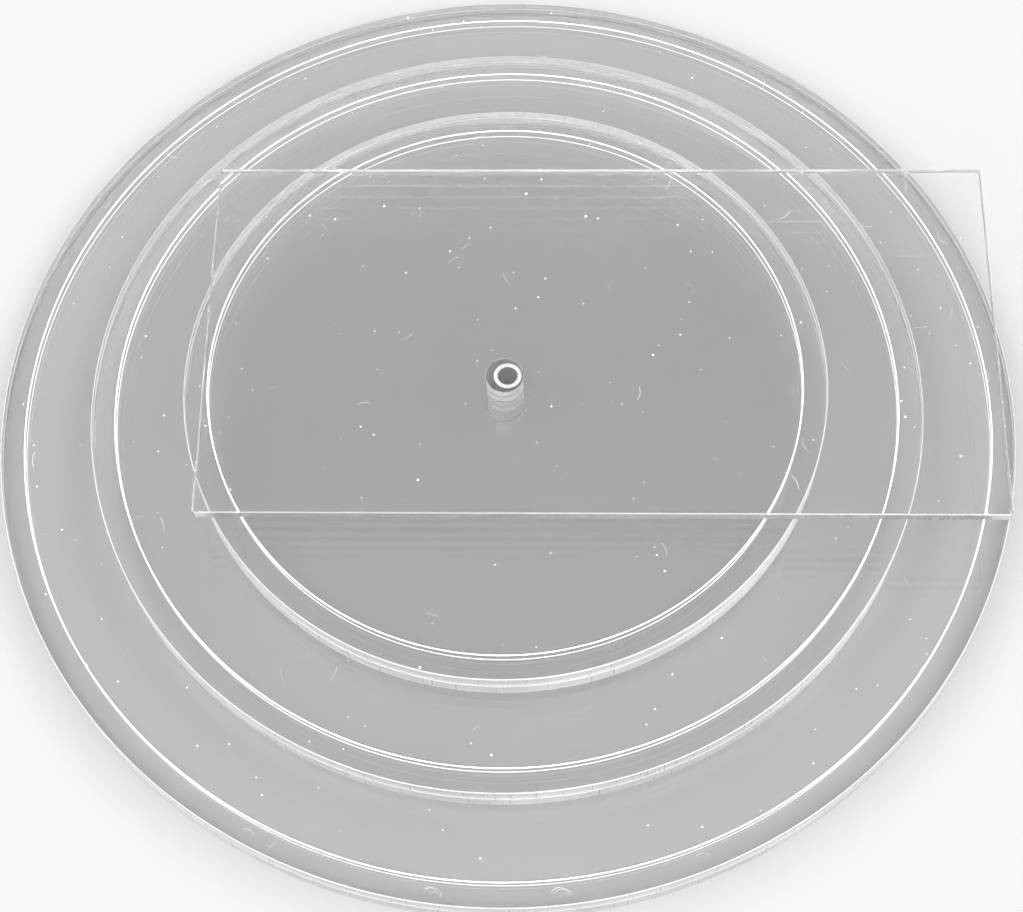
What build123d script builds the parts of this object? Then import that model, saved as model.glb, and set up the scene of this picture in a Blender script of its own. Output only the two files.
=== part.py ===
from build123d import *
import os

# A clear acrylic icing disc set, all sizes in millimetres. Six round discs lie face to face around the
# vertical axis in three pairs, the largest pair at the bottom, and a loose tube dowel stands in their
# aligned centre holes. A rectangular scraper lies flat on the top disc. The origin is on the disc axis, at
# the level that the bottom disc stands on. +Z is up and +X runs along the scraper's long edges.

# Driving dimensions of the discs
small_disc_diameter = 165.1
middle_disc_diameter = 215.9
large_disc_diameter = 266.7
disc_thickness = 4.5
disc_hole_diameter = 9.525

# Each disc shows the cake's outline as a circle that the laser scores into its top face, this far inside
# the rim: the coat of icing fills the border
icing_border = 6.35
score_width = 0.5
score_depth = 0.2

# The laser leaves a crisp rim, which is eased by hand on the bench, and a lightly deburred hole
rim_bevel = 0.25
hole_bevel = 0.15

# The dowel is a length of extruded tube, thinner than the holes by this much on its radius
dowel_clearance = 1.1625
dowel_wall = 1.05
dowel_end_bevel = 0.2

# The dowel stops below the top face of the stack, so that the scraper lies flat over it
dowel_recess = 0.5

# The dowel stands off the axis, but keeps clear of the walls of the holes
dowel_shift_x = 0.75
dowel_shift_y = 0.2

# Driving dimensions of the scraper, whose four straight edges are all working edges
scraper_length = 203.2
scraper_width = 101.6
scraper_thickness = 3.0
scraper_corner_radius = 0.8
scraper_edge_bevel = 0.25

# Place of the scraper's middle on the top disc
scraper_offset_x = 24.4
scraper_offset_y = 11.0

# The discs in their order from the bottom up, each with its diameter
stack = [
    ("large_disc_lower", large_disc_diameter),
    ("large_disc_upper", large_disc_diameter),
    ("middle_disc_lower", middle_disc_diameter),
    ("middle_disc_upper", middle_disc_diameter),
    ("small_disc_lower", small_disc_diameter),
    ("small_disc_upper", small_disc_diameter),
]
stack_height = len(stack) * disc_thickness


def make_disc(diameter, level):
    """One disc with its underside at the given level, turned from half of its section in the XZ plane."""
    rim = diameter / 2
    bore = disc_hole_diameter / 2
    top = disc_thickness
    score = rim - icing_border
    section = Polyline(
        (bore + hole_bevel, 0),
        (rim - rim_bevel, 0),
        (rim, rim_bevel),
        (rim, top - rim_bevel),
        (rim - rim_bevel, top),
        (score + score_width / 2, top),
        (score, top - score_depth),
        (score - score_width / 2, top),
        (bore + hole_bevel, top),
        (bore, top - hole_bevel),
        (bore, hole_bevel),
        close=True,
    )
    disc = revolve(Plane.XZ * make_face(section), Axis.Z)
    return Pos(0, 0, level) * disc


def make_dowel():
    """The tube dowel, which stands on the same surface as the bottom disc."""
    outer = disc_hole_diameter / 2 - dowel_clearance
    inner = outer - dowel_wall
    height = stack_height - dowel_recess
    section = Polyline(
        (inner + dowel_end_bevel, 0),
        (outer - dowel_end_bevel, 0),
        (outer, dowel_end_bevel),
        (outer, height - dowel_end_bevel),
        (outer - dowel_end_bevel, height),
        (inner + dowel_end_bevel, height),
        (inner, height - dowel_end_bevel),
        (inner, dowel_end_bevel),
        close=True,
    )
    tube = revolve(Plane.XZ * make_face(section), Axis.Z)
    return Pos(dowel_shift_x, dowel_shift_y, 0) * tube


def make_scraper():
    """The rectangular blade, lying on the top face of the stack."""
    outline = RectangleRounded(scraper_length, scraper_width, scraper_corner_radius)
    blade = extrude(outline, scraper_thickness)
    level_faces = blade.faces().sort_by(Axis.Z)
    blade = chamfer(level_faces[0].edges() + level_faces[-1].edges(), scraper_edge_bevel)
    return Pos(scraper_offset_x, scraper_offset_y, stack_height) * blade


def make_set():
    """Every piece of the set by its name, in its place."""
    pieces = {}
    for order, (name, diameter) in enumerate(stack):
        pieces[name] = make_disc(diameter, order * disc_thickness)
    pieces["centre_dowel"] = make_dowel()
    pieces["scraper"] = make_scraper()
    return pieces


os.makedirs("parts", exist_ok=True)
for name, piece in make_set().items():
    export_step(piece, f"parts/{name}.step")
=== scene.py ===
"""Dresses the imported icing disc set: six clear acrylic discs, a tube dowel and a scraper.

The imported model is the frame. Each of its solids gets a visual piece in the same place, with clear
faces and with the satin walls and scored circles that a laser leaves. Dust, hairs, nicks and scuffs
lie on the faces that are open. All lengths are in metres.
"""

import math

import bmesh
import bpy
from mathutils import Matrix, Vector


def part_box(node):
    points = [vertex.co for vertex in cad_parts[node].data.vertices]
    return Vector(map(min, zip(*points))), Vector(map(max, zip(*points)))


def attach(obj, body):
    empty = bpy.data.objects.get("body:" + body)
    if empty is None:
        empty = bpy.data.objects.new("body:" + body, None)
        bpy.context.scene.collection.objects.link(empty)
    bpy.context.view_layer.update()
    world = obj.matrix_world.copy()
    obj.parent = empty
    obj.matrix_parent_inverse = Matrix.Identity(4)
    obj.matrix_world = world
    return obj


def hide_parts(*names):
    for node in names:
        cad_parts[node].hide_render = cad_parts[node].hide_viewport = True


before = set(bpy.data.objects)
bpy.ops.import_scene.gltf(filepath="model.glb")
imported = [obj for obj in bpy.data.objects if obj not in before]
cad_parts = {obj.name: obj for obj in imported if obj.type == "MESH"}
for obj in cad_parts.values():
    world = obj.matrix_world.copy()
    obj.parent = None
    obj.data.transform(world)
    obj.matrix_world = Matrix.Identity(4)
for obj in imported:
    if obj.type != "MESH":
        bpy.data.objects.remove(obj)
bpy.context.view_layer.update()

bl_info = {
    "name": "Icing Disc Set",
    "version": (1, 0, 0),
    "blender": (4, 5, 0),
    "location": "3D Viewport > Sidebar > Disc Set",
    "description": "Gives the icing disc set its clear acrylic, laser-cut walls, scored circles and wear",
    "category": "Object",
}

MM = 0.001

# The discs from the bottom up, by the names of their solids
DISC_NAMES = [
    "large_disc_lower",
    "large_disc_upper",
    "middle_disc_lower",
    "middle_disc_upper",
    "small_disc_lower",
    "small_disc_upper",
]

# How finely round things are made, apart from the rims of the discs
ROUND_SEGMENTS = 96
CORNER_STEPS = 8

# An edge that bends more than this stays crisp
CRISP_ANGLE = math.radians(12)

# Points of a turned disc that lie nearer to each other than this become one
MERGE_DISTANCE = 2e-6

# How strongly acrylic bends light
ACRYLIC_IOR = 1.49

# How rough the cut walls are
RIM_ROUGHNESS = 0.25
ARRIS_ROUGHNESS = 0.3
BORE_ROUGHNESS = 0.5
SAWN_ROUGHNESS = 0.3
SCRAPER_ROUGHNESS = 0.15

# How much of a bore and of a sawn end is white, and the scraper's veil as a share of a disc's
BORE_VEIL = 0.06
SAWN_VEIL = 0.6
SCRAPER_VEIL_SHARE = 0.6

# Size of the crumbs in a scored line
CRUMB_SIZE = 0.5 * MM

# Height of dust, hairs and scuffs over the sheet, as a share of the air film
WEAR_HEIGHT_SHARE = 0.3

# How far dust keeps off the step above, the rim, and the edges of the scraper
STEP_MARGIN = 0.6 * MM
RIM_MARGIN = 0.8 * MM
SCRAPER_MARGIN = 1 * MM

# Thickness of a strip beside its length, and its size upwards as a multiple of the wear's height
HAIR_THICKNESS = 0.02
HAIR_RISE = 22.0
SCUFF_THICKNESS = 0.014
SCUFF_RISE = 30.0

# Nicks: how far apart they may lie, the share of those places that have one, their height, and how
# far they lie inside and below the scraper's upper edge
NICK_SPACING = 2.3 * MM
NICKED_SHARE = 0.4
NICK_HEIGHT = 0.22 * MM
NICK_INSET = 0.13 * MM
NICK_DROP = 0.12 * MM

# Scuffs on the border of the lower step: the direction of each place in degrees, and how many lie
# there side by side. The first two places are where thumbs pull the disc up
SCUFF_PLACES = [(-97.4, 4), (-83.8, 4), (-68.0, 1), (-118.0, 2), (24.0, 1), (150.0, 1)]
SCUFF_INSET = 3.2 * MM
SCUFF_STEP = 0.45 * MM
SCUFF_STEP_DEGREES = 0.25

# The flat faces mirror the sky round this direction to the camera. Between these two cosines of the
# angle to it, the sky fades to a share of its strength
MIRRORED_WAY = (-0.02, 0.444, 0.896)
MIRRORED_FADE = (0.8, 0.93)
MIRRORED_SHARE = 0.25

# Sines of the elevations between which the sky takes over from the horizon, and the backdrop fades out
OVERHEAD_FADE = (0.4, 0.62)
BACKDROP_FADE = (0.03, 0.16)
BACKDROP_STRENGTH = 0.4
SKY_COLOUR = (1.0, 0.998, 0.993)
FLOOR_REACH = 4.0

# The photograph's width and the focal length that was fitted to it, in its pixels, and the width of
# the camera's sensor in millimetres
PHOTO_WIDTH = 1023
PHOTO_FOCAL_LENGTH = 2192.9
SENSOR_WIDTH = 36


# Settings that a user would change


def length_setting(name, description, default, least=0.0):
    """A length, with its default and its least value in millimetres."""
    return bpy.props.FloatProperty(
        name=name,
        description=description,
        default=default * MM,
        min=least * MM,
        subtype="DISTANCE",
        unit="LENGTH",
        precision=5,
    )


def colour_setting(name, description, default):
    """A colour."""
    return bpy.props.FloatVectorProperty(
        name=name,
        description=description,
        default=default,
        min=0.0,
        max=1.0,
        size=3,
        subtype="COLOR",
    )


def share_setting(name, description, default):
    """A share between none and all."""
    return bpy.props.FloatProperty(
        name=name, description=description, default=default, min=0.0, max=1.0, subtype="FACTOR"
    )


def amount_setting(name, description, default, least=0.0):
    """A number without a unit."""
    return bpy.props.FloatProperty(name=name, description=description, default=default, min=least)


def angle_setting(name, description, degrees):
    """An angle."""
    return bpy.props.FloatProperty(
        name=name,
        description=description,
        default=math.radians(degrees),
        subtype="ANGLE",
        unit="ROTATION",
    )


class DiscSizes(bpy.types.PropertyGroup):
    bore: length_setting("Bore", "Diameter of the hole for the dowel", 9.525, 1)
    border: length_setting("Icing Border", "How far inside the rim the scored circle lies", 6.35, 1)
    score_width: length_setting("Score Width", "Width of the scored circle", 0.24, 0.1)
    score_depth: length_setting("Score Depth", "Depth of the scored circle", 0.2)
    rim_ease: length_setting("Rim Ease", "Width of the eased edge at the rim", 0.25, 0.05)
    bore_ease: length_setting("Bore Ease", "Width of the eased edge at the bore", 0.15, 0.05)
    air_film: length_setting(
        "Air Film", "Air between two faces that lie on each other, half of it taken off each", 0.05
    )
    segments: bpy.props.IntProperty(
        name="Segments",
        description="Number of flats that make each round rim",
        default=480,
        min=64,
        max=1024,
    )


class DowelSizes(bpy.types.PropertyGroup):
    wall: length_setting("Wall", "Thickness of the tube's wall", 1.05, 0.5)
    end_ease: length_setting("End Ease", "Width of the eased edges at the ends", 0.2, 0.05)


class ScraperSizes(bpy.types.PropertyGroup):
    corner: length_setting("Corner", "Radius of the blade's corners", 0.8, 0.3)
    edge_ease: length_setting("Edge Ease", "Width of the blade's eased edges", 0.25, 0.05)


class AcrylicLook(bpy.types.PropertyGroup):
    # The disc tints are partly the acrylic's own and partly painted shade: the pairs differ, the large
    # pair darkest, so that the outer ring comes out darker, as shade under the stack makes it
    large_tint_and_shade: colour_setting(
        "Large Disc Tint",
        "Colour of the light that gets through a large disc",
        (0.895, 0.896, 0.894),
    )
    middle_tint_and_shade: colour_setting(
        "Middle Disc Tint",
        "Colour of the light that gets through a middle disc",
        (0.985, 0.986, 0.984),
    )
    small_tint_and_shade: colour_setting(
        "Small Disc Tint",
        "Colour of the light that gets through a small disc",
        (0.958, 0.959, 0.957),
    )
    scraper_tint: colour_setting(
        "Scraper Tint", "Colour of the light that gets through the scraper", (0.97, 0.971, 0.969)
    )
    tube_tint: colour_setting(
        "Tube Tint", "Colour of the light that gets through the dowel's wall", (0.9, 0.9, 0.9)
    )
    bore_tint: colour_setting(
        "Bore Tint", "Colour of the light that gets through the wall of a bore", (0.62, 0.62, 0.62)
    )
    frost: colour_setting(
        "Frost", "Colour of the white on a cut wall and in a scored line", (0.975, 0.975, 0.973)
    )
    rim_veil: share_setting(
        "Rim Veil", "How much of a laser-cut rim is white rather than clear", 0.43
    )
    arris_veil: share_setting(
        "Arris Veil", "How much of an eased edge is white rather than clear", 0.5
    )
    striation_pitch: length_setting(
        "Striation Pitch",
        "Distance between the upright lines that the laser leaves on a wall",
        0.35,
        0.05,
    )
    # Painted glow: scored lines give out light of their own, in place of light the sheet guides there
    painted_line_glow: amount_setting(
        "Line Glow",
        "Strength of the light that the sheet guides to a scored line and lets out there",
        1.1,
    )
    smear: share_setting("Smear", "Roughness where fingers have wiped a face", 0.05)


class WearLook(bpy.types.PropertyGroup):
    dust_density: amount_setting(
        "Dust Density", "Number of dust specks on a square metre of a face", 6500.0
    )
    dust_size: length_setting("Dust Size", "Width of the widest dust speck", 0.75, 0.05)
    hair_density: amount_setting(
        "Hair Density", "Number of hairs and fine scratches on a square metre of a face", 900.0
    )
    hair_length: length_setting("Hair Length", "Length of the longest hair or scratch", 5.0, 0.5)
    nick_size: length_setting(
        "Nick Size", "Width of the widest nick along the scraper's edge", 0.5, 0.05
    )
    scuff_size: length_setting("Scuff Size", "Width of the widest thumbnail scuff", 4.4, 0.5)
    seed: bpy.props.IntProperty(
        name="Seed", description="Changes where the dust, the hairs and the nicks lie", default=7
    )


class StageLook(bpy.types.PropertyGroup):
    floor_colour: colour_setting("Floor", "Colour of the floor", (0.45, 0.45, 0.452))
    sky_strength: amount_setting("Sky", "Strength of the soft light from above", 3.25)
    horizon_strength: amount_setting(
        "Horizon",
        "Strength of the soft light from near the horizon, which low views see mirrored",
        0.8,
    )
    lens: amount_setting(
        "Lens",
        "Focal length of the camera on a sensor 36 mm wide, in millimetres",
        PHOTO_FOCAL_LENGTH / PHOTO_WIDTH * SENSOR_WIDTH,
        1.0,
    )
    distance: length_setting(
        "Distance", "Distance of the camera from the point that it looks at", 552.42, 10
    )
    elevation: angle_setting(
        "Elevation", "How far above the horizon the camera stands", 63.640
    )
    turn: angle_setting("Turn", "How far the camera is turned round the upright axis", 2.948)
    roll: angle_setting(
        "Roll", "How far the camera is turned round its own line of sight", -2.475
    )
    aim: bpy.props.FloatVectorProperty(
        name="Aim",
        description="The point on the top disc that the camera looks at, before the turn",
        default=(0.88 * MM, -22.59 * MM, 27 * MM),
        size=3,
        subtype="XYZ",
        unit="LENGTH",
    )


# Node trees


class Wire:
    """An output socket. Python's operators on it add Math nodes."""

    def __init__(self, net, socket):
        self.net = net
        self.socket = socket

    def _math(self, operation, first, second):
        return self.net.add("ShaderNodeMath", {"operation": operation}, {0: first, 1: second})

    def __add__(self, other):
        return self._math("ADD", self, other)

    def __radd__(self, other):
        return self._math("ADD", other, self)

    def __sub__(self, other):
        return self._math("SUBTRACT", self, other)

    def __rsub__(self, other):
        return self._math("SUBTRACT", other, self)

    def __mul__(self, other):
        return self._math("MULTIPLY", self, other)

    def __rmul__(self, other):
        return self._math("MULTIPLY", other, self)

    def __truediv__(self, other):
        return self._math("DIVIDE", self, other)

    def __rtruediv__(self, other):
        return self._math("DIVIDE", other, self)

    def __gt__(self, other):
        return self._math("GREATER_THAN", self, other)

    def __lt__(self, other):
        return self._math("LESS_THAN", self, other)

    def also(self, output):
        """Another output of the same node."""
        return Wire(self.net, self.socket.node.outputs[output])


class Net:
    """A node tree, with one method that adds any node."""

    def __init__(self, tree):
        self.tree = tree

    def add(self, kind, settings=None, sockets=None, output=0):
        """Adds a node, sets what it is set to and then its sockets, and gives one of its outputs."""
        node = self.tree.nodes.new(kind)
        for name, value in (settings or {}).items():
            if name == "items":
                while len(node.index_switch_items) < value:
                    node.index_switch_items.new()
            else:
                setattr(node, name, value)
        for key, value in (sockets or {}).items():
            if isinstance(value, Wire):
                self.tree.links.new(value.socket, node.inputs[key])
            else:
                node.inputs[key].default_value = value
        return Wire(self, node.outputs[output]) if len(node.outputs) else node


# Finishes


def start_material(name):
    """A new material and its empty net."""
    material = bpy.data.materials.new(name)
    material.use_nodes = True
    material.node_tree.nodes.clear()
    return material, Net(material.node_tree)


def finish_material(net, shader):
    """Joins the last shader to the material's output."""
    net.add("ShaderNodeOutputMaterial", {}, {"Surface": shader})


def with_alpha(colour):
    """A colour with the fourth number that a colour socket takes."""
    return (*colour, 1.0)


def shade_of(colour, share):
    """A darker or lighter shade of a colour, never brighter than white."""
    return [min(1.0, part * share) for part in colour]


def object_place(net):
    """The place on the piece, which every pattern reads."""
    return net.add("ShaderNodeTexCoord", {}, {}, "Object")


def clouds(net, place, scale, detail, roughness=0.5, distortion=0.0):
    """A soft random pattern between 0 and 1."""
    return net.add(
        "ShaderNodeTexNoise",
        {},
        {
            "Vector": place,
            "Scale": scale,
            "Detail": detail,
            "Roughness": roughness,
            "Distortion": distortion,
        },
    )


def fade(net, value, start, end, first=0.0, last=1.0):
    """A number that eases from first to last while the value goes from start to end."""
    return net.add(
        "ShaderNodeMapRange",
        {"interpolation_type": "SMOOTHSTEP"},
        {"Value": value, "From Min": start, "From Max": end, "To Min": first, "To Max": last},
    )


def mix_colours(net, share, first, second):
    """A colour between two others. The Mix node's sockets 6, 7 and 2 are the ones for colours."""
    return net.add(
        "ShaderNodeMix",
        {"data_type": "RGBA"},
        {"Factor": share, 6: with_alpha(first), 7: with_alpha(second)},
        2,
    )


def clear_acrylic(net, colour, roughness):
    """Acrylic that light bends through."""
    return net.add(
        "ShaderNodeBsdfPrincipled",
        {},
        {
            "Base Color": colour,
            "Roughness": roughness,
            "IOR": ACRYLIC_IOR,
            "Transmission Weight": 1.0,
        },
    )


def paint_clear_face(name, tint, look):
    """Clear acrylic face: sharp, with faint wiped smears and a slightly uneven tint."""
    material, net = start_material(name)
    place = object_place(net)
    smears = clouds(net, place, 34.0, 4.0, 0.6, 1.2)
    wiped = fade(net, smears, 0.6, 0.8)
    uneven = clouds(net, place, 9.0, 1.0)
    tinted = mix_colours(net, uneven, shade_of(tint, 0.992), shade_of(tint, 1.006))
    finish_material(net, clear_acrylic(net, tinted, wiped * look.smear))
    return material


def paint_laser_wall(name, look, tint, veil, roughness):
    """Cut wall: satin, with fine upright lines and a thin veil of white."""
    material, net = start_material(name)
    place = object_place(net)
    upright = net.add(
        "ShaderNodeVectorMath", {"operation": "MULTIPLY"}, {0: place, 1: (1.0, 1.0, 0.03)}
    )
    lines = clouds(net, upright, 1 / look.striation_pitch, 1.0)
    patches = fade(net, clouds(net, place, 18.0, 1.0), 0.52, 0.66, 0.15, 1.0)
    scars = lines * patches
    bump = net.add(
        "ShaderNodeBump", {}, {"Strength": 0.1, "Distance": 0.005 * MM, "Height": scars}
    )
    satin = clear_acrylic(net, with_alpha(tint), roughness + lines * 0.08)
    white = net.add(
        "ShaderNodeBsdfPrincipled",
        {},
        {"Base Color": with_alpha(look.frost), "Roughness": 0.55, "Normal": bump},
    )
    share = veil * (0.85 + scars * 0.5)
    finish_material(net, net.add("ShaderNodeMixShader", {}, {0: share, 1: satin, 2: white}))
    return material


def paint_scored_line(name, look, glow):
    """Scored line: white crumbs, with a painted glow for light that the sheet guides there."""
    material, net = start_material(name)
    crumbs = clouds(net, object_place(net), 1 / CRUMB_SIZE, 2.0)
    bump = net.add(
        "ShaderNodeBump", {}, {"Strength": 0.6, "Distance": 0.04 * MM, "Height": crumbs}
    )
    shade = mix_colours(net, crumbs, shade_of(look.frost, 0.93), (1.0, 1.0, 1.0))
    shader = net.add(
        "ShaderNodeBsdfPrincipled",
        {},
        {
            "Base Color": shade,
            "Roughness": 0.7 + crumbs * 0.2,
            "Emission Color": shade,
            "Emission Strength": glow,
            "Normal": bump,
        },
    )
    finish_material(net, shader)
    return material


def paint_dust(name):
    """Pale lint and acrylic crumbs."""
    material, net = start_material(name)
    grain = clouds(net, object_place(net), 900.0, 1.0)
    shade = mix_colours(net, grain, (0.82, 0.82, 0.8), (1.0, 1.0, 1.0))
    shader = net.add(
        "ShaderNodeBsdfPrincipled", {}, {"Base Color": shade, "Roughness": 0.6 + grain * 0.3}
    )
    finish_material(net, shader)
    return material


def paint_floor(name, colour):
    """A plain matt floor, with a grain that is hardly seen."""
    material, net = start_material(name)
    grain = clouds(net, object_place(net), 14.0, 2.0)
    shade = mix_colours(net, grain, shade_of(colour, 0.985), colour)
    shader = net.add("ShaderNodeBsdfPrincipled", {}, {"Base Color": shade, "Roughness": 0.9})
    finish_material(net, shader)
    return material


# Geometry trees


def new_tree(name, numbers, finishes, seeded=True):
    """A geometry tree with named inputs, its net, and each input's identifier and wire by its name."""
    tree = bpy.data.node_groups.new(name, "GeometryNodeTree")
    tree.interface.new_socket("Geometry", in_out="INPUT", socket_type="NodeSocketGeometry")
    tree.interface.new_socket("Geometry", in_out="OUTPUT", socket_type="NodeSocketGeometry")
    inputs = [(label, "NodeSocketFloat") for label in numbers]
    if seeded:
        inputs.append(("Seed", "NodeSocketInt"))
    inputs += [(label, "NodeSocketMaterial") for label in finishes]
    keys = {}
    for label, kind in inputs:
        socket = tree.interface.new_socket(label, in_out="INPUT", socket_type=kind)
        keys[label] = socket.identifier
    net = Net(tree)
    start = tree.nodes.new("NodeGroupInput")
    wires = {socket.name: Wire(net, socket) for socket in start.outputs if socket.name}
    return tree, net, keys, wires


def end_tree(net, geometry):
    """Joins the geometry to the tree's output."""
    end = net.tree.nodes.new("NodeGroupOutput")
    net.tree.links.new(geometry.socket, end.inputs["Geometry"])


def run_tree(piece, tree, keys, values):
    """Runs a geometry tree on the piece and keeps what it makes as the piece's plain mesh."""
    modifier = piece.modifiers.new(tree.name, "NODES")
    modifier.node_group = tree
    for label, value in values.items():
        modifier[keys[label]] = value
    graph = bpy.context.evaluated_depsgraph_get()
    made = bpy.data.meshes.new_from_object(
        piece.evaluated_get(graph), preserve_all_data_layers=True, depsgraph=graph
    )
    piece.modifiers.clear()
    piece.data = made
    made.name = piece.name
    if not len(made.polygons):
        raise RuntimeError(f"the tree {tree.name} made nothing for {piece.name}")
    while len(made.materials) and made.materials[0] is None:
        made.materials.pop(index=0)


def build_disc_tree():
    """A tree that turns a disc: its half section goes round the axis, and each part gets its finish."""
    tree, net, keys, wire = new_tree(
        "Turned Disc",
        ["Rim Radius", "Bore Radius", "Score Radius", "Score Width", "Score Depth"]
        + ["Rim Ease", "Bore Ease", "Underside", "Top", "Segments"],
        ["Face", "Rim Wall", "Arris", "Score", "Bore Wall"],
        seeded=False,
    )
    rim, bore, score = wire["Rim Radius"], wire["Bore Radius"], wire["Score Radius"]
    low, top = wire["Underside"], wire["Top"]
    half = wire["Score Width"] * 0.5
    rim_ease, bore_ease = wire["Rim Ease"], wire["Bore Ease"]
    section = [
        (bore + bore_ease, low),
        (rim - rim_ease, low),
        (rim, low + rim_ease),
        (rim, top - rim_ease),
        (rim - rim_ease, top),
        (score + half, top),
        (score, top - wire["Score Depth"]),
        (score - half, top),
        (bore + bore_ease, top),
        (bore, top - bore_ease),
        (bore, low + bore_ease),
    ]

    # A flat grid is rolled up: one way it follows the section back to its start, the other way it
    # goes round the axis
    count = len(section)
    rows = count + 1
    index = net.add("GeometryNodeInputIndex")
    row = net.add("ShaderNodeMath", {"operation": "MODULO"}, {0: index, 1: float(rows)})
    corner = net.add("ShaderNodeMath", {"operation": "MODULO"}, {0: row, 1: float(count)})
    step = net.add("ShaderNodeMath", {"operation": "FLOOR"}, {0: index / float(rows)})
    corners = {"Index": corner}
    for number, (radius, level) in enumerate(section, start=1):
        corners[number] = net.add("ShaderNodeCombineXYZ", {}, {0: radius, 2: level})
    point = net.add("GeometryNodeIndexSwitch", {"data_type": "VECTOR", "items": count}, corners)
    turned = net.add(
        "ShaderNodeVectorRotate",
        {"rotation_type": "Z_AXIS"},
        {"Vector": point, "Angle": step * math.tau / wire["Segments"]},
    )
    grid = net.add(
        "GeometryNodeMeshGrid", {}, {"Vertices X": wire["Segments"] + 1.0, "Vertices Y": rows}
    )
    shape = net.add("GeometryNodeSetPosition", {}, {"Geometry": grid, "Position": turned})
    shape = net.add(
        "GeometryNodeMergeByDistance", {}, {"Geometry": shape, "Distance": MERGE_DISTANCE}
    )
    shape = smooth_rounds(net, shape)

    # The middles of an eased edge's faces lie half its width from its wall, and these shares of the
    # width tell them from the middles of the wall and of the flat face
    near_wall, near_face = 0.25, 0.75
    spot = net.add("GeometryNodeInputPosition")
    level_spot = net.add(
        "ShaderNodeVectorMath", {"operation": "MULTIPLY"}, {0: spot, 1: (1.0, 1.0, 0.0)}
    )
    radius = net.add("ShaderNodeVectorMath", {"operation": "LENGTH"}, {0: level_spot}, "Value")
    off_score = net.add("ShaderNodeMath", {"operation": "ABSOLUTE"}, {0: radius - score})
    shape = net.add("GeometryNodeSetMaterial", {}, {"Geometry": shape, "Material": wire["Face"]})
    for label, where in (
        ("Arris", radius > rim - rim_ease * near_face),
        ("Rim Wall", radius > rim - rim_ease * near_wall),
        ("Bore Wall", radius < bore + bore_ease * near_face),
        ("Score", off_score < half),
    ):
        shape = net.add(
            "GeometryNodeSetMaterial",
            {},
            {"Geometry": shape, "Selection": where, "Material": wire[label]},
        )
    end_tree(net, shape)
    return tree, keys


def smooth_rounds(net, shape):
    """Smooth round walls that stay crisp at the edges."""
    shape = net.add(
        "GeometryNodeSetShadeSmooth", {"domain": "FACE"}, {"Geometry": shape, "Shade Smooth": True}
    )
    bend = net.add("GeometryNodeInputMeshEdgeAngle", {}, {}, "Unsigned Angle")
    shape = net.add(
        "GeometryNodeSetShadeSmooth",
        {"domain": "EDGE"},
        {"Geometry": shape, "Selection": bend > CRISP_ANGLE, "Shade Smooth": False},
    )
    return net.add("GeometryNodeRealizeInstances", {}, {"Geometry": shape})


def build_dust_tree():
    """A tree that scatters flat specks over a face."""
    tree, net, keys, wire = new_tree("Scattered Dust", ["Density", "Size", "Height"], ["Finish"])
    width = wire["Size"] * squared(random_value(net, 0.45, 1.0, wire["Seed"] + 1.0))
    narrow = random_value(net, 0.35, 1.0, wire["Seed"] + 2.0)
    size = net.add("ShaderNodeCombineXYZ", {}, {0: width, 1: width * narrow, 2: wire["Height"]})
    scatter(net, wire, grain_shape(net), size)
    return tree, keys


def build_hair_tree():
    """A tree that scatters thin bent strips over a face, as hairs and fine scratches."""
    tree, net, keys, wire = new_tree("Scattered Hairs", ["Density", "Size", "Height"], ["Finish"])
    arc = {"Resolution": 9, "Radius": 0.9, "Sweep Angle": math.radians(64)}
    length = wire["Size"] * random_value(net, 0.3, 1.0, wire["Seed"] + 1.0)
    bend = random_value(net, 0.1, 1.0, wire["Seed"] + 2.0)
    size = net.add(
        "ShaderNodeCombineXYZ", {}, {0: length * bend, 1: length, 2: wire["Height"] * HAIR_RISE}
    )
    scatter(net, wire, strip_shape(net, arc, HAIR_THICKNESS), size)
    return tree, keys


def build_nick_tree():
    """A tree that sets white nicks along an edge."""
    tree, net, keys, wire = new_tree("Edge Nicks", ["Spacing", "Size", "Height"], ["Finish"])
    path = net.add("GeometryNodeMeshToCurve", {}, {"Mesh": wire["Geometry"]})
    spots = net.add(
        "GeometryNodeCurveToPoints", {"mode": "LENGTH"}, {"Curve": path, "Length": wire["Spacing"]}
    )
    width = wire["Size"] * squared(random_value(net, 0.2, 1.0, wire["Seed"] + 1.0))
    size = net.add("ShaderNodeCombineXYZ", {}, {0: width, 1: width * 0.6, 2: wire["Height"]})
    kept = random_value(net, 0.0, 1.0, wire["Seed"]) < NICKED_SHARE
    place_things(net, wire, spots, grain_shape(net), size, {"Selection": kept})
    return tree, keys


def build_scuff_tree():
    """A tree that sets bent scuffs at the given points, with their backs to the axis of the disc."""
    tree, net, keys, wire = new_tree("Thumbnail Scuffs", ["Size", "Height"], ["Finish"])
    arc = {
        "Resolution": 13,
        "Radius": 0.5,
        "Start Angle": math.radians(110),
        "Sweep Angle": math.radians(140),
    }
    spot = net.add("GeometryNodeInputPosition")
    parts = net.add("ShaderNodeSeparateXYZ", {}, {0: spot})
    outward = net.add("ShaderNodeMath", {"operation": "ARCTAN2"}, {0: parts.also(1), 1: parts})
    turn = net.add(
        "ShaderNodeCombineXYZ", {}, {2: outward + random_value(net, -0.3, 0.3, wire["Seed"])}
    )
    length = wire["Size"] * random_value(net, 0.45, 1.0, wire["Seed"] + 1.0)
    size = net.add(
        "ShaderNodeCombineXYZ", {}, {0: length * 0.8, 1: length, 2: wire["Height"] * SCUFF_RISE}
    )
    strip = strip_shape(net, arc, SCUFF_THICKNESS)
    place_things(net, wire, wire["Geometry"], strip, size, {"Rotation": turn})
    return tree, keys


def grain_shape(net):
    """A rough ball, one unit wide."""
    return net.add("GeometryNodeMeshIcoSphere", {}, {"Radius": 0.5, "Subdivisions": 1})


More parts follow.
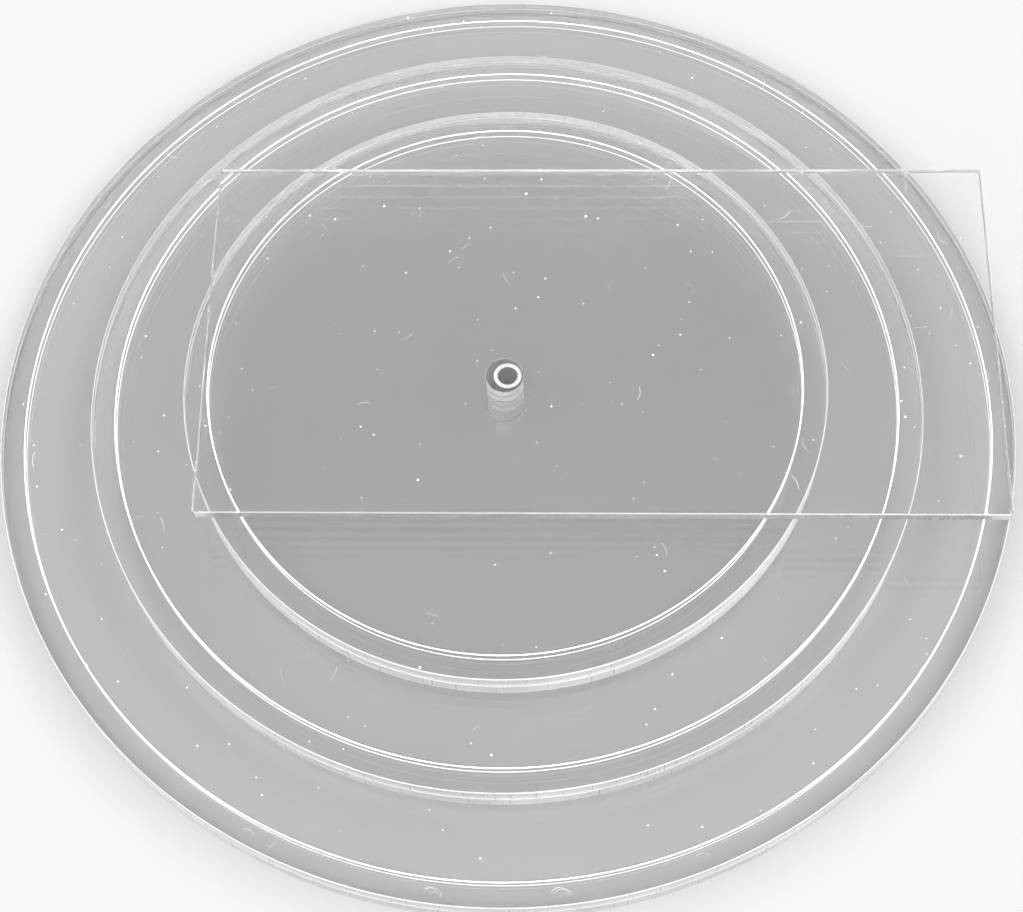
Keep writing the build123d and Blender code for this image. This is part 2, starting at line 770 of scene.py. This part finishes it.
def strip_shape(net, arc, thickness):
    """A strip that follows an arc, with a three-sided section."""
    path = net.add("GeometryNodeCurveArc", {"mode": "RADIUS"}, arc)
    section = net.add("GeometryNodeCurvePrimitiveCircle", {}, {"Resolution": 3, "Radius": 1.0})
    return net.add(
        "GeometryNodeCurveToMesh",
        {},
        {"Curve": path, "Profile Curve": section, "Scale": thickness, "Fill Caps": True},
    )


def squared(wire):
    """A share times itself, so that most things come out small."""
    return wire * wire


def random_value(net, least, most, seed):
    """A number that differs from point to point. The node's sockets 2, 3, 8 and 1 are for floats."""
    sockets = {2: least, 3: most, 8: seed}
    return net.add("FunctionNodeRandomValue", {"data_type": "FLOAT"}, sockets, 1)


def scatter(net, wire, thing, size):
    """Puts the thing at random places on the face that the tree is given, and ends the tree."""
    spots = net.add(
        "GeometryNodeDistributePointsOnFaces",
        {"distribute_method": "RANDOM"},
        {"Mesh": wire["Geometry"], "Density": wire["Density"], "Seed": wire["Seed"]},
    )
    turn = net.add(
        "ShaderNodeCombineXYZ", {}, {2: random_value(net, 0.0, math.tau, wire["Seed"] + 3.0)}
    )
    place_things(net, wire, spots, thing, size, {"Rotation": turn})


def place_things(net, wire, spots, thing, size, more):
    """Puts the thing at the points as real mesh with its finish, and ends the tree."""
    things = net.add(
        "GeometryNodeInstanceOnPoints",
        {},
        {"Points": spots, "Instance": thing, "Scale": size} | more,
    )
    things = net.add("GeometryNodeRealizeInstances", {}, {"Geometry": things})
    things = net.add(
        "GeometryNodeSetMaterial", {}, {"Geometry": things, "Material": wire["Finish"]}
    )
    end_tree(net, things)


# Meshes and pieces


def ring_face(inner, outer, level):
    """A flat ring that wear is scattered over."""
    corners = []
    for radius in (inner, outer):
        for step in range(ROUND_SEGMENTS):
            angle = math.tau * step / ROUND_SEGMENTS
            corners.append((radius * math.cos(angle), radius * math.sin(angle), level))
    faces = []
    for step in range(ROUND_SEGMENTS):
        after = (step + 1) % ROUND_SEGMENTS
        faces.append((step, ROUND_SEGMENTS + step, ROUND_SEGMENTS + after, after))
    mesh = bpy.data.meshes.new("worn_ring")
    mesh.from_pydata(corners, [], faces)
    return mesh


def oblong_face(low, high, inset, level):
    """A flat rectangle that wear is scattered over."""
    left, right = low.x + inset, high.x - inset
    near, far = low.y + inset, high.y - inset
    mesh = bpy.data.meshes.new("worn_oblong")
    mesh.from_pydata(
        [(left, near, level), (right, near, level), (right, far, level), (left, far, level)],
        [],
        [(0, 1, 2, 3)],
    )
    return mesh


def rounded_outline(low, high, radius, inset):
    """The corners of a rounded rectangle, drawn in by the inset, once round from its right-hand end."""
    outline = []
    for x_end, y_end, first in ((1, 1, 0), (0, 1, 90), (0, 0, 180), (1, 0, 270)):
        centre_x = high.x - radius if x_end else low.x + radius
        centre_y = high.y - radius if y_end else low.y + radius
        for step in range(CORNER_STEPS + 1):
            angle = math.radians(first + step * 90 / CORNER_STEPS)
            outline.append(
                (
                    centre_x + (radius - inset) * math.cos(angle),
                    centre_y + (radius - inset) * math.sin(angle),
                )
            )
    return outline


def lathe(name, section, finishes, centre):
    """A closed section turned about an upright axis, with one finish for each side of the section."""
    shape = bmesh.new()
    rings = []
    for step in range(ROUND_SEGMENTS):
        angle = math.tau * step / ROUND_SEGMENTS
        across, along = math.cos(angle), math.sin(angle)
        rings.append(
            [
                shape.verts.new((centre.x + radius * across, centre.y + radius * along, level))
                for radius, level in section
            ]
        )
    for step, ring in enumerate(rings):
        after = rings[(step + 1) % ROUND_SEGMENTS]
        for side, finish in enumerate(finishes):
            other = (side + 1) % len(section)
            face = shape.faces.new((ring[side], after[side], after[other], ring[other]))
            face.material_index = finish
            face.smooth = True
    return close_shape(shape, name)


def close_shape(shape, name):
    """The mesh of a finished shape, with its faces outwards and its edges crisp."""
    bmesh.ops.recalc_face_normals(shape, faces=shape.faces)
    for edge in shape.edges:
        if edge.calc_face_angle(0.0) > CRISP_ANGLE:
            edge.smooth = False
    mesh = bpy.data.meshes.new(name)
    shape.to_mesh(mesh)
    shape.free()
    return mesh


def new_piece(name, mesh):
    """A new object at the origin."""
    piece = bpy.data.objects.new(name, mesh)
    bpy.context.scene.collection.objects.link(piece)
    return piece


def rest_on(piece, node):
    """The piece stands for the solid and moves with its body."""
    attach(piece, node)
    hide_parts(node)


def lay_wear(node, kind, base, tree, keys, values):
    """A piece of wear that a tree makes on the base. It moves with the solid's body."""
    piece = new_piece(f"{node}_{kind}", base)
    run_tree(piece, tree, keys, values)
    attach(piece, node)


class DISCSET_OT_cut_discs(bpy.types.Operator):
    """Turns the six discs, with clear faces, satin walls and scored circles"""

    bl_idname = "discset.cut_discs"
    bl_label = "Cut Discs"

    def execute(self, context):
        sizes = context.scene.disc_sizes
        look = context.scene.acrylic_look
        finishes = {
            "Rim Wall": paint_laser_wall(
                "laser_cut_rim", look, look.frost, look.rim_veil, RIM_ROUGHNESS
            ),
            "Arris": paint_laser_wall(
                "eased_arris", look, look.frost, look.arris_veil, ARRIS_ROUGHNESS
            ),
            "Bore Wall": paint_laser_wall(
                "laser_cut_bore", look, look.bore_tint, BORE_VEIL, BORE_ROUGHNESS
            ),
        }
        # Each pair's tint differs from the others as painted shade
        faces = [
            paint_clear_face("clear_large_disc", look.large_tint_and_shade, look),
            paint_clear_face("clear_middle_disc", look.middle_tint_and_shade, look),
            paint_clear_face("clear_small_disc", look.small_tint_and_shade, look),
        ]
        # The upper disc of each pair gets the score with the painted glow, the lower one a plain score
        scores = [
            paint_scored_line("shaded_score", look, 0.0),
            paint_scored_line("painted_glow_score", look, look.painted_line_glow),
        ]
        tree, keys = build_disc_tree()
        for number, node in enumerate(DISC_NAMES):
            low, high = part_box(node)
            rim = (high.x - low.x - sizes.air_film) / 2
            piece = new_piece(node + "_sheet", bpy.data.meshes.new(node + "_sheet"))
            values = {
                "Rim Radius": rim,
                "Bore Radius": sizes.bore / 2,
                "Score Radius": rim - sizes.border,
                "Score Width": sizes.score_width,
                "Score Depth": sizes.score_depth,
                "Rim Ease": sizes.rim_ease,
                "Bore Ease": sizes.bore_ease,
                "Underside": low.z + sizes.air_film / 2,
                "Top": high.z - sizes.air_film / 2,
                "Segments": float(sizes.segments),
                "Face": faces[number // 2],
                "Score": scores[number % 2],
            }
            run_tree(piece, tree, keys, values | finishes)
            rest_on(piece, node)
        return {"FINISHED"}


class DISCSET_OT_cut_dowel(bpy.types.Operator):
    """Cuts the tube dowel, drawn clear and sawn at its ends"""

    bl_idname = "discset.cut_dowel"
    bl_label = "Cut Dowel"

    def execute(self, context):
        sizes = context.scene.dowel_sizes
        look = context.scene.acrylic_look
        low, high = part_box("centre_dowel")
        outer = (high.x - low.x) / 2
        inner = outer - sizes.wall
        ease = sizes.end_ease
        bottom = low.z + context.scene.disc_sizes.air_film / 2
        section = [
            (inner + ease, bottom),
            (outer - ease, bottom),
            (outer, bottom + ease),
            (outer, high.z - ease),
            (outer - ease, high.z),
            (inner + ease, high.z),
            (inner, high.z - ease),
            (inner, bottom + ease),
        ]
        drawn, sawn = 0, 1
        finishes = [sawn, sawn, drawn, sawn, sawn, sawn, drawn, sawn]
        mesh = lathe("centre_dowel_tube", section, finishes, (low + high) / 2)
        mesh.materials.append(paint_clear_face("drawn_tube", look.tube_tint, look))
        mesh.materials.append(
            paint_laser_wall("sawn_end", look, look.frost, SAWN_VEIL, SAWN_ROUGHNESS)
        )
        rest_on(new_piece("centre_dowel_tube", mesh), "centre_dowel")
        return {"FINISHED"}


class DISCSET_OT_cut_scraper(bpy.types.Operator):
    """Cuts the scraper, a blade with four straight working edges"""

    bl_idname = "discset.cut_scraper"
    bl_label = "Cut Scraper"

    def execute(self, context):
        sizes = context.scene.scraper_sizes
        look = context.scene.acrylic_look
        low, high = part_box("scraper")
        ease = sizes.edge_ease
        bottom = low.z + context.scene.disc_sizes.air_film / 2
        top = high.z - context.scene.disc_sizes.air_film / 2
        levels = [(bottom, ease), (bottom + ease, 0.0), (top - ease, 0.0), (top, ease)]
        shape = bmesh.new()
        rings = []
        for level, inset in levels:
            outline = rounded_outline(low, high, sizes.corner, inset)
            rings.append([shape.verts.new((x, y, level)) for x, y in outline])
        for lower, upper in zip(rings, rings[1:]):
            for side in range(len(lower)):
                after = (side + 1) % len(lower)
                wall = shape.faces.new((lower[side], lower[after], upper[after], upper[side]))
                wall.material_index = 1
                wall.smooth = True
        shape.faces.new(list(reversed(rings[0])))
        shape.faces.new(rings[-1])
        mesh = close_shape(shape, "scraper_blade")
        veil = look.rim_veil * SCRAPER_VEIL_SHARE
        mesh.materials.append(paint_clear_face("clear_scraper_face", look.scraper_tint, look))
        mesh.materials.append(
            paint_laser_wall("laser_cut_scraper_edge", look, look.frost, veil, SCRAPER_ROUGHNESS)
        )
        rest_on(new_piece("scraper_blade", mesh), "scraper")
        return {"FINISHED"}


class DISCSET_OT_scatter_wear(bpy.types.Operator):
    """Scatters dust and hairs over the open faces, and sets nicks and scuffs"""

    bl_idname = "discset.scatter_wear"
    bl_label = "Scatter Wear"

    def execute(self, context):
        wear = context.scene.wear_look
        film = context.scene.disc_sizes.air_film
        finish = paint_dust("lint_and_crumbs")
        dust = build_dust_tree()
        hairs = build_hair_tree()
        height = film * WEAR_HEIGHT_SHARE
        shared = {"Height": height, "Finish": finish}
        for number, (node, face) in enumerate(self.open_faces(film, height)):
            specks = {"Density": wear.dust_density, "Size": wear.dust_size}
            lay_wear(node, "dust", face, *dust, shared | specks | {"Seed": wear.seed + number})
            strips = {"Density": wear.hair_density, "Size": wear.hair_length}
            lay_wear(node, "hairs", face, *hairs, shared | strips | {"Seed": wear.seed - number})
            bpy.data.meshes.remove(face)
        self.nick_edge(wear, film, finish)
        self.scuff_border(wear, film, finish)
        return {"FINISHED"}

    def nick_edge(self, wear, film, finish):
        """White nicks along the scraper's upper edge."""
        low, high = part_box("scraper")
        edge = oblong_face(low, high, NICK_INSET, high.z - film / 2 - NICK_DROP)
        values = {
            "Spacing": NICK_SPACING,
            "Size": wear.nick_size,
            "Height": NICK_HEIGHT,
            "Seed": wear.seed,
            "Finish": finish,
        }
        lay_wear("scraper", "nicks", edge, *build_nick_tree(), values)
        bpy.data.meshes.remove(edge)

    def scuff_border(self, wear, film, finish):
        """Scuffs on the border of the lower step."""
        node = "large_disc_upper"
        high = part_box(node)[1]
        height = film * WEAR_HEIGHT_SHARE
        level = high.z - film / 2 + height
        points = []
        for degrees, count in SCUFF_PLACES:
            for part in range(count):
                angle = math.radians(degrees + SCUFF_STEP_DEGREES * part)
                radius = high.x - (SCUFF_INSET - SCUFF_STEP * part)
                points.append((radius * math.cos(angle), radius * math.sin(angle), level))
        marks = bpy.data.meshes.new("scuff_points")
        marks.from_pydata(points, [], [])
        values = {"Size": wear.scuff_size, "Height": height, "Seed": wear.seed, "Finish": finish}
        lay_wear(node, "scuffs", marks, *build_scuff_tree(), values)
        bpy.data.meshes.remove(marks)

    def open_faces(self, film, height):
        """The solids with a face that dust can reach, and that face, half a speck above the sheet."""
        faces = []
        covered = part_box("centre_dowel")[1].x
        for node in reversed(DISC_NAMES[1::2]):
            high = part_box(node)[1]
            level = high.z - film / 2 + height
            faces.append((node, ring_face(covered + STEP_MARGIN, high.x - RIM_MARGIN, level)))
            covered = high.x
        low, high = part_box("scraper")
        level = high.z - film / 2 + height
        faces.append(("scraper", oblong_face(low, high, SCRAPER_MARGIN, level)))
        return faces


class DISCSET_OT_set_stage(bpy.types.Operator):
    """Sets the floor, the soft light and the camera"""

    bl_idname = "discset.set_stage"
    bl_label = "Set Stage"

    def execute(self, context):
        look = context.scene.stage_look
        self.lay_floor(look)
        self.light(context, look)
        self.place_camera(context, look)
        context.scene.view_settings.view_transform = "Standard"

        # Light goes through seven clear pieces and back, two faces to each
        cycles = context.scene.cycles
        cycles.max_bounces = 36
        cycles.transmission_bounces = 36
        cycles.glossy_bounces = 12
        cycles.diffuse_bounces = 3
        cycles.transparent_max_bounces = 8
        cycles.blur_glossy = 0.0
        return {"FINISHED"}

    def lay_floor(self, look):
        """A plain pale floor under the set."""
        mesh = bpy.data.meshes.new("floor")
        reach = FLOOR_REACH
        mesh.from_pydata(
            [(-reach, -reach, 0), (reach, -reach, 0), (reach, reach, 0), (-reach, reach, 0)],
            [],
            [(0, 1, 2, 3)],
        )
        mesh.materials.append(paint_floor("plain_floor", look.floor_colour))
        new_piece("floor", mesh)

    def light(self, context, look):
        """Soft light from above, dimmer near the horizon and where the flat faces mirror the sky."""
        world = bpy.data.worlds.new("studio")
        world.use_nodes = True
        world.node_tree.nodes.clear()
        net = Net(world.node_tree)
        way = net.add("ShaderNodeTexCoord", {}, {}, "Generated")
        mirrored = net.add(
            "ShaderNodeVectorMath",
            {"operation": "DOT_PRODUCT"},
            {0: way, 1: MIRRORED_WAY},
            "Value",
        )
        rise = net.add("ShaderNodeSeparateXYZ", {}, {0: way}, "Z")
        dim = fade(net, mirrored, *MIRRORED_FADE, 1.0, MIRRORED_SHARE)
        overhead = fade(net, rise, *OVERHEAD_FADE)
        backdrop = fade(net, rise, *BACKDROP_FADE, BACKDROP_STRENGTH, 0.0)
        above = dim * look.sky_strength
        strength = above * overhead + look.horizon_strength * (1.0 - overhead) + backdrop
        sky = net.add(
            "ShaderNodeBackground", {}, {"Color": with_alpha(SKY_COLOUR), "Strength": strength}
        )
        net.add("ShaderNodeOutputWorld", {}, {"Surface": sky})
        context.scene.world = world

    def place_camera(self, context, look):
        """The camera at the photograph's angle."""
        ahead = Vector((0, math.cos(look.elevation), -math.sin(look.elevation)))
        across = Vector((1, 0, 0))
        above = across.cross(ahead)
        right = math.cos(look.roll) * across + math.sin(look.roll) * above
        up = math.cos(look.roll) * above - math.sin(look.roll) * across
        eye = Vector(look.aim) - look.distance * ahead
        stand = Matrix(
            (
                (right.x, up.x, -ahead.x, eye.x),
                (right.y, up.y, -ahead.y, eye.y),
                (right.z, up.z, -ahead.z, eye.z),
                (0, 0, 0, 1),
            )
        )
        data = bpy.data.cameras.new("camera")
        data.sensor_width = SENSOR_WIDTH
        data.lens = look.lens
        data.clip_start = 0.01
        data.clip_end = 20
        camera = new_piece("camera", data)
        camera.matrix_world = Matrix.Rotation(look.turn, 4, "Z") @ stand
        context.scene.camera = camera


class DISCSET_PT_panel(bpy.types.Panel):
    """Lists every setting and every step"""

    bl_idname = "DISCSET_PT_panel"
    bl_label = "Icing Disc Set"
    bl_space_type = "VIEW_3D"
    bl_region_type = "UI"
    bl_category = "Disc Set"

    def draw(self, context):
        column = self.layout.column()
        for group in GROUPS:
            settings = getattr(context.scene, group)
            box = column.box()
            for name in settings.bl_rna.properties.keys():
                if name not in ("rna_type", "name"):
                    box.prop(settings, name)
        for step in STEPS:
            column.operator(step.bl_idname)


STEPS = [
    DISCSET_OT_cut_discs,
    DISCSET_OT_cut_dowel,
    DISCSET_OT_cut_scraper,
    DISCSET_OT_scatter_wear,
    DISCSET_OT_set_stage,
]
GROUPS = {
    "disc_sizes": DiscSizes,
    "dowel_sizes": DowelSizes,
    "scraper_sizes": ScraperSizes,
    "acrylic_look": AcrylicLook,
    "wear_look": WearLook,
    "stage_look": StageLook,
}


def register():
    """Adds the settings, the operators and the panel."""
    for name, group in GROUPS.items():
        bpy.utils.register_class(group)
        setattr(bpy.types.Scene, name, bpy.props.PointerProperty(type=group))
    for step in STEPS:
        bpy.utils.register_class(step)
    bpy.utils.register_class(DISCSET_PT_panel)


def unregister():
    """Takes away what register added."""
    bpy.utils.unregister_class(DISCSET_PT_panel)
    for step in reversed(STEPS):
        bpy.utils.unregister_class(step)
    for name, group in GROUPS.items():
        delattr(bpy.types.Scene, name)
        bpy.utils.unregister_class(group)


def main():
    """Dresses the set."""
    register()
    for step in STEPS:
        group, name = step.bl_idname.split(".")
        getattr(getattr(bpy.ops, group), name)()


if __name__ == "__main__":
    main()
